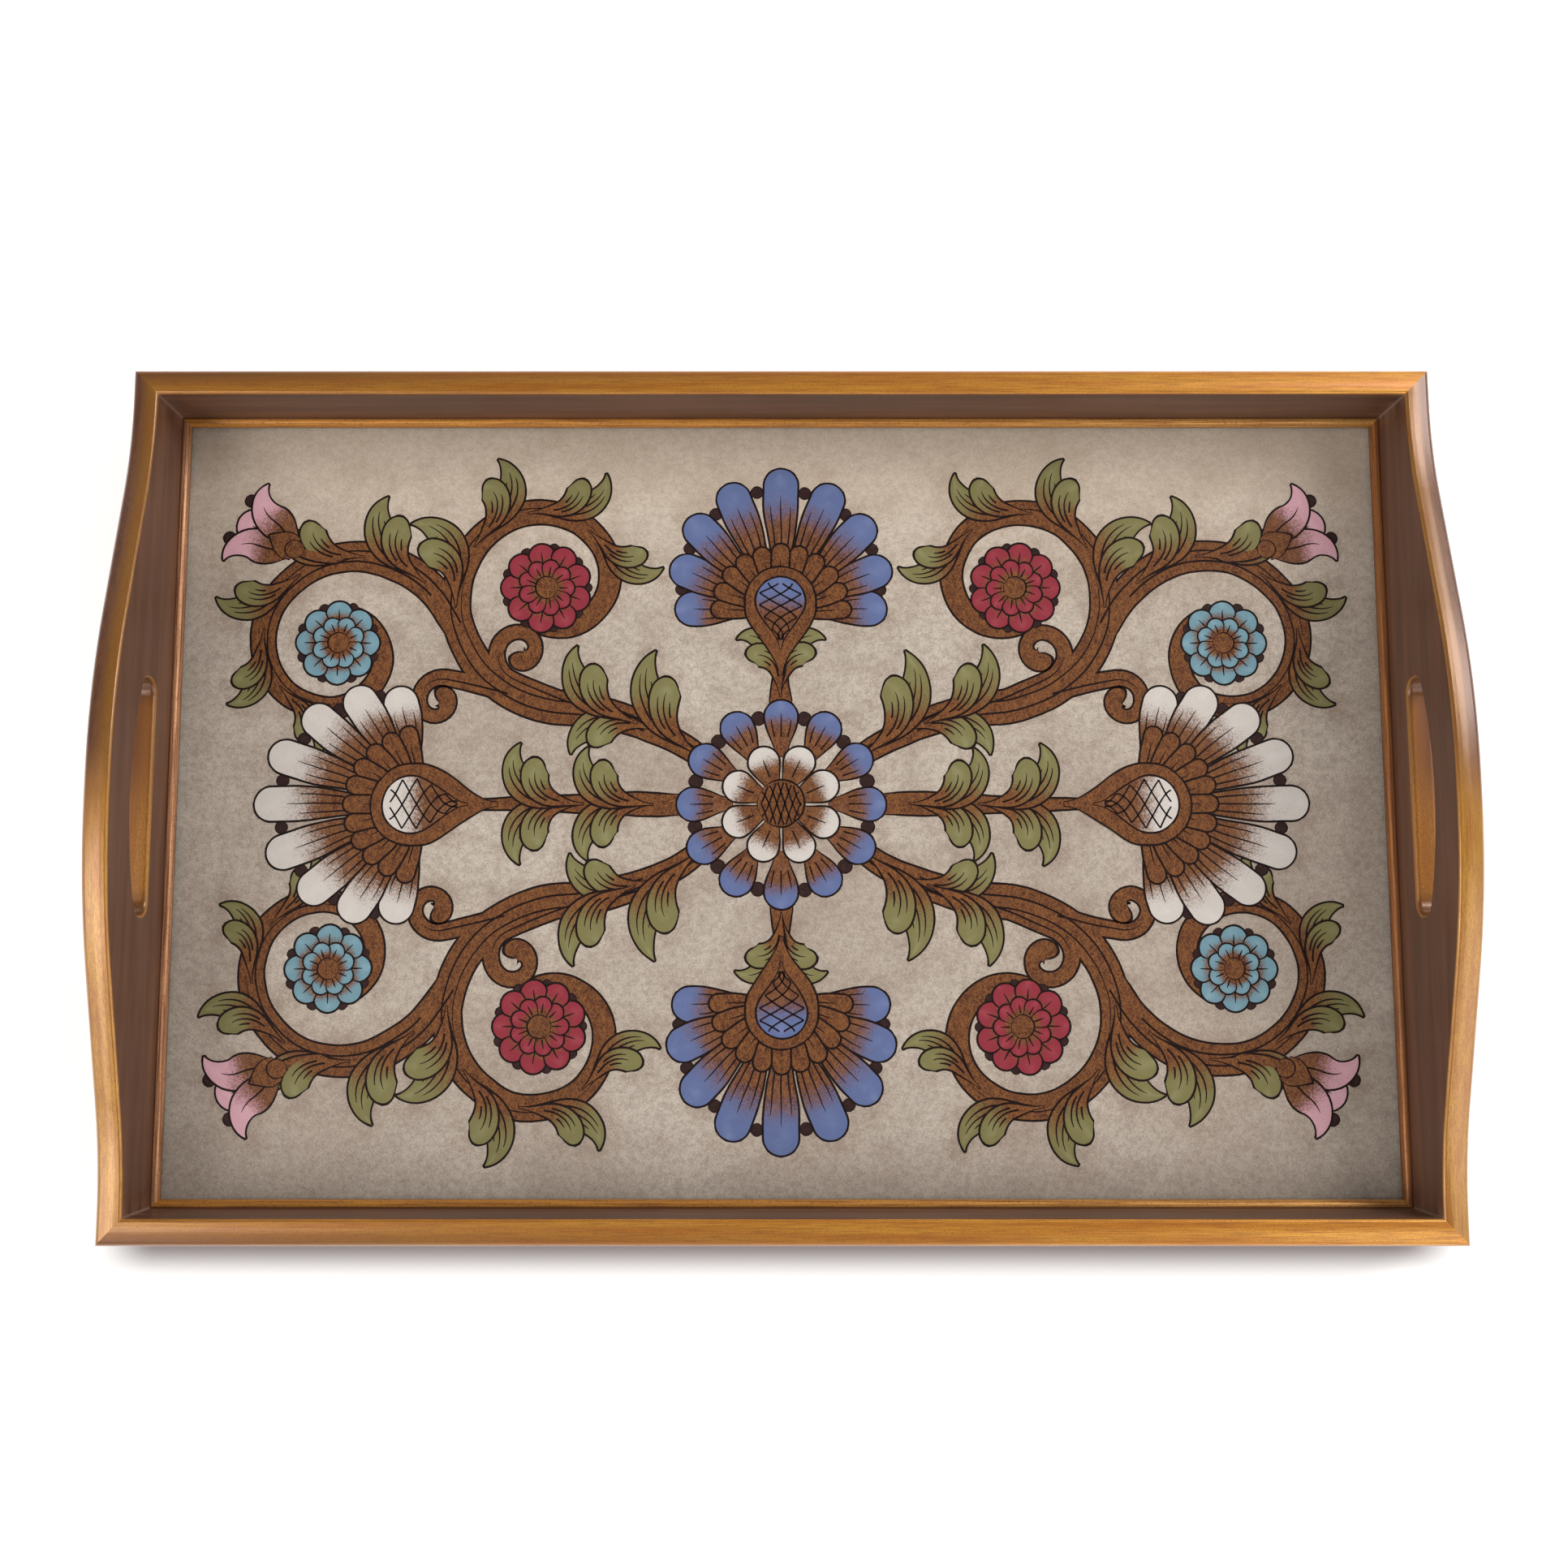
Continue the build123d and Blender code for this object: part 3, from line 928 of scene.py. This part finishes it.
def stone_ground():
    """Grey-beige ground, dabbed with a rag: fine dark scratches, pale and brown clouds. It is painted paler
    towards the back and darker along the walls, as painted light and shade.
    """
    finish = Finish("stone_ground", {"Roughness": 0.55, "Specular IOR Level": 0.1})
    x, y, z = finish.place()
    from_edge = (half_length - abs(x)).least(half_width - abs(y))
    large = finish.noise((0.07, 0.06, 1), detail=4, warp=0.6)
    small = finish.noise((0.013, 0.012, 1), detail=4, seed=5)
    mottle = finish.noise((0.003, 0.0026, 1), detail=5, roughness=0.75, warp=0.4, seed=7)
    fibre = finish.noise((0.0007, 0.0006, 1), detail=4, roughness=0.8, seed=2)
    specks = finish.noise((0.0005, 0.0005, 1), detail=3, roughness=0.7, seed=9)
    dark_marks = scratches(finish, (0.0022, 0.00025, 1))
    pale_marks = scratches(finish, (0.003, 0.00022, 1), seed=40)
    # painted light: the clouds are painted paler towards the back
    colour = finish.blend((large - 0.5 * y).rise(0.3, 0.7), shade("d2c5b6"), shade("b2a394"))
    colour = finish.blend(small.rise(0.42, 0.75) * 0.45, colour, shade("988679"))
    colour = finish.blend(mottle.rise(0.42, 0.6) * 0.45, colour, shade("8a796b"))
    colour = finish.blend(fibre.rise(0.49, 0.62) * 0.5, colour, shade("837061"))
    colour = finish.blend(dark_marks * 0.26, colour, shade("857465"))
    colour = finish.blend(specks.rise(0.54, 0.64) * 0.25, colour, shade("e8dfd3"))
    colour = finish.blend(pale_marks * 0.2, colour, shade("e6dccf"))
    nearness = labelled(finish, "nearness")
    smudge = nearness.rise(0.0, 1.0) * (0.25 + small.rise(0.4, 0.7)) * fibre.rise(0.3, 0.7)
    colour = finish.blend(smudge * 0.5, colour, shade("876a55"))
    # painted light: the strip along the back is painted paler and warmer, lifting the shade of the far wall
    colour = finish.blend(y.rise(60 * mm, half_width) * 0.4, colour, shade("dcc5ab"))
    # painted shade: the ground is darker along the walls
    painted_wall_shade = 1 - (from_edge + 20 * mm * (large - 0.5)).rise(12 * mm, 24 * mm)
    colour = finish.blend(painted_wall_shade * 0.06, colour, shade("8b8177"))
    finish.wear({"Base Color": colour})
    return finish.material


ground_size = (film_far_corner[0] - film_corner[0], film_far_corner[1] - film_corner[1], ground_depth)
in_film(ground_recipe().cook(
    "painted_ground",
    bpy.data.objects.new("ground", bpy.data.meshes.new("ground")),
    {
        "Size": ground_size,
        "Middle": (0, 0, film_low + ground_depth / 2),
        "Ornament": outlines,
        "Reach": 9 * mm,
        "Paint": stone_ground(),
    },
))


# ---- Glass -----------------------------------------------------------------------------------
# A clear pane that lies on the base panel under the beads, with its painted back down, so that
# the painting is seen through it. Only its upper face shines.


def clear_glass():
    """Clear to look through, with a reflection that grows as the upper face is seen more aslant."""
    finish = Finish("clear_glass", {})
    haze = finish.noise((0.06, 0.02, 0.02), detail=3)
    bend = finish.node("ShaderNodeFresnel", {}, {"IOR": 1.3})
    back = finish.node("ShaderNodeNewGeometry", {}, {}, "Backfacing")
    through = finish.node("ShaderNodeBsdfTransparent", {}, {})
    gloss = finish.node("ShaderNodeBsdfGlossy", {}, {"Roughness": 0.06 + 0.05 * haze})
    both = finish.node("ShaderNodeMixShader", {}, {0: bend * (1 - back), 1: through, 2: gloss})
    finish.cover(both)
    finish.tree.nodes.remove(finish.shader)
    return finish.material


dress(clear_glass(), "glass_pane")


# ---- Beads -----------------------------------------------------------------------------------
# Four thin strips of moulding, mitred at the corners, that hold the glass down. They are gilded
# brighter than the walls, with brown showing where they meet the glass, painted shade where they
# meet the wall, and painted light and shade along their length.

bead_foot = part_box("front_bead")[0][2]


def gilt_bead(name, lengthwise):
    """Rubbed gold paint over brown, with painted shade where the bead meets the wall and brown along its
    foot at the glass.
    """
    finish = Finish(name, {"Coat Weight": 0.3, "Coat Roughness": 0.22})
    x, y, z = finish.place()
    if lengthwise == "x":
        streaks = finish.noise((0.03, 0.0005, 0.0005), detail=3, roughness=0.65)
        from_wall = inner_half_width - abs(y)
        # painted highlight: the front and back beads' gold is painted paler towards the right
        gold = finish.blend(x.rise(-50 * mm, 230 * mm) * 0.6, shade("da943c"), shade("ecb568"))
        brown = shade("a86c2f")
    else:
        streaks = finish.noise((0.0005, 0.03, 0.0005), detail=3, roughness=0.65)
        from_wall = inner_half_length - abs(x)
        # painted light and shade: the left bead's gold is painted paler and pinker, the right bead's darker
        gold = finish.blend(x.rise(-200 * mm, 200 * mm), shade("cf966a"), shade("aa6a30"))
        brown = shade("7d4a2a")
    dabs = finish.noise((0.0012, 0.0012, 0.0012), detail=3, roughness=0.7)
    colour = finish.blend(streaks.rise(0.4, 0.66), gold, brown)
    colour = finish.blend(dabs.rise(0.5, 0.7) * 0.5, colour, shade("7b4c2a"))
    # painted shade in the crease at the wall, and brown along the foot at the glass
    shade_at_wall = 1 - from_wall.rise(0.2 * mm, 0.9 * mm)
    at_glass = 1 - z.rise(bead_foot + 0.3 * mm, bead_foot + 1.6 * mm)
    colour = finish.blend(shade_at_wall.most(at_glass) * 0.85, colour, shade("4e2b1d"))
    finish.wear({"Base Color": colour, "Metallic": 0.5, "Roughness": 0.36 + 0.2 * dabs})
    finish.relief(streaks + dabs, 0.03 * mm)
    return finish.material


dress(gilt_bead("gilt_bead_along_x", "x"), "front_bead", "back_bead")
dress(gilt_bead("gilt_bead_along_y", "y"), "left_bead", "right_bead")


# ---- Studio ----------------------------------------------------------------------------------
# The tray lies on a white sweep and is seen from nearly overhead. Soft light comes from all
# round, with broad lamps at its left, at its right behind and, weaker, at its right in front.

scene.view_settings.view_transform = "Standard"


def seen(nodes, *kinds):
    """1 for the kinds of ray that look at a thing, and 0 for those that only light others by it."""
    share = 0
    for kind in kinds:
        share = nodes.node("ShaderNodeLightPath", {}, {}, kind).most(share)
    return share


def white_floor():
    """A white sheet with a painted shadow along the foot of the front rail, and pure white away from the
    tray.
    """
    finish = Finish("white_floor", {"Roughness": 0.9})
    x, y, z = finish.place()
    drift = finish.noise((0.4, 0.4, 0.4), detail=1)
    colour = finish.blend(drift * 0.3, shade("e6e4e1"), shade("eceae8"))
    in_front = 1 - (-y - half_width).rise(5 * mm, 20 * mm)
    beside = (half_length + 12 * mm - abs(x)).rise(-8 * mm, 20 * mm)
    # painted shadow: the sheet is painted dark, and its glow dimmed, along the foot of the front rail
    painted_contact_shadow = in_front * beside * (-y).rise(half_width - 12 * mm, half_width)
    finish.wear({"Base Color": finish.blend(painted_contact_shadow * 0.7, colour, shade("6a5256"))})
    away = (x ** 2 + y ** 2) ** 0.5
    looked_at = seen(finish, "Is Camera Ray", "Is Glossy Ray", "Is Transmission Ray")
    bright = (1 - painted_contact_shadow) * 0.45 + away.rise(0.4, 0.9)
    glow = finish.node("ShaderNodeEmission", {}, {"Strength": looked_at * bright})
    sheet = Wire(finish, finish.shader.outputs[0])
    both = finish.node("ShaderNodeAddShader", {}, {0: sheet, 1: glow})
    finish.cover(both)
    return finish.material


floor_mesh = bpy.data.meshes.new("floor")
floor_reach = 12.0
corners = [(-1, -1), (1, -1), (1, 1), (-1, 1)]
floor_mesh.from_pydata([(x * floor_reach, y * floor_reach, 0) for x, y in corners], [], [(0, 1, 2, 3)])
floor_mesh.materials.append(white_floor())
floor = bpy.data.objects.new("floor", floor_mesh)
scene.collection.objects.link(floor)


def lamp(name, place, size, power):
    """A broad lamp that shines at the tray, placed and sized in metres, with its power in watts."""
    light = bpy.data.lights.new(name, "AREA")
    light.shape = "RECTANGLE"
    light.size, light.size_y = size
    light.energy = power
    stand = bpy.data.objects.new(name, light)
    stand.location = place
    stand.rotation_euler = (-stand.location).to_track_quat("-Z", "Y").to_euler()
    scene.collection.objects.link(stand)


lamp("left_front", (-1.3, -0.6, 1.55), (1.1, 1.0), 15.5)
lamp("right_back", (1.25, 0.85, 1.25), (0.9, 0.8), 17)
lamp("right_front", (1.3, -0.9, 1.2), (1.2, 1.0), 7)


def studio_air():
    """Soft light all round. A mirror finds it white low in front, and dim behind and overhead."""
    world = bpy.data.worlds.new("studio")
    world.use_nodes = True
    scene.world = world
    air = Nodes(world.node_tree)
    backward, upward = air.split(air.node("ShaderNodeTexCoord", {}, {}, "Generated"))[1:]
    overhead = upward.rise(0.25, 0.9)
    mirrored_light = (1 - 0.85 * overhead) * (1 - 0.6 * backward.rise(-0.4, 0.4))
    in_mirror = seen(air, "Is Glossy Ray")
    light = (0.72 - 0.28 * overhead) * (1 - in_mirror) + mirrored_light * in_mirror
    background = world.node_tree.nodes["Background"]
    air.feed(background.inputs["Color"], shade("ffffff"))
    air.feed(background.inputs["Strength"], light.most(seen(air, "Is Camera Ray", "Is Transmission Ray")))


studio_air()

# the camera looks down past a place a little to the left of the middle and behind it, and its
# lens is shifted to set the tray in the frame
camera_data = bpy.data.cameras.new("camera")
camera = bpy.data.objects.new("camera", camera_data)
scene.collection.objects.link(camera)
scene.camera = camera
elevation = radians(83.245)
distance = 664.6 * mm
aim_x = -7.7 * mm
aim_y = 11.2 * mm
camera.location = (aim_x, aim_y - distance * cos(elevation), distance * sin(elevation))
camera.rotation_euler = (radians(90) - elevation, 0, 0)
camera_data.sensor_width = 36.0
camera_data.lens = 38.155
camera_data.shift_x = 0.0144
camera_data.shift_y = -0.0039
camera_data.clip_start = 0.01
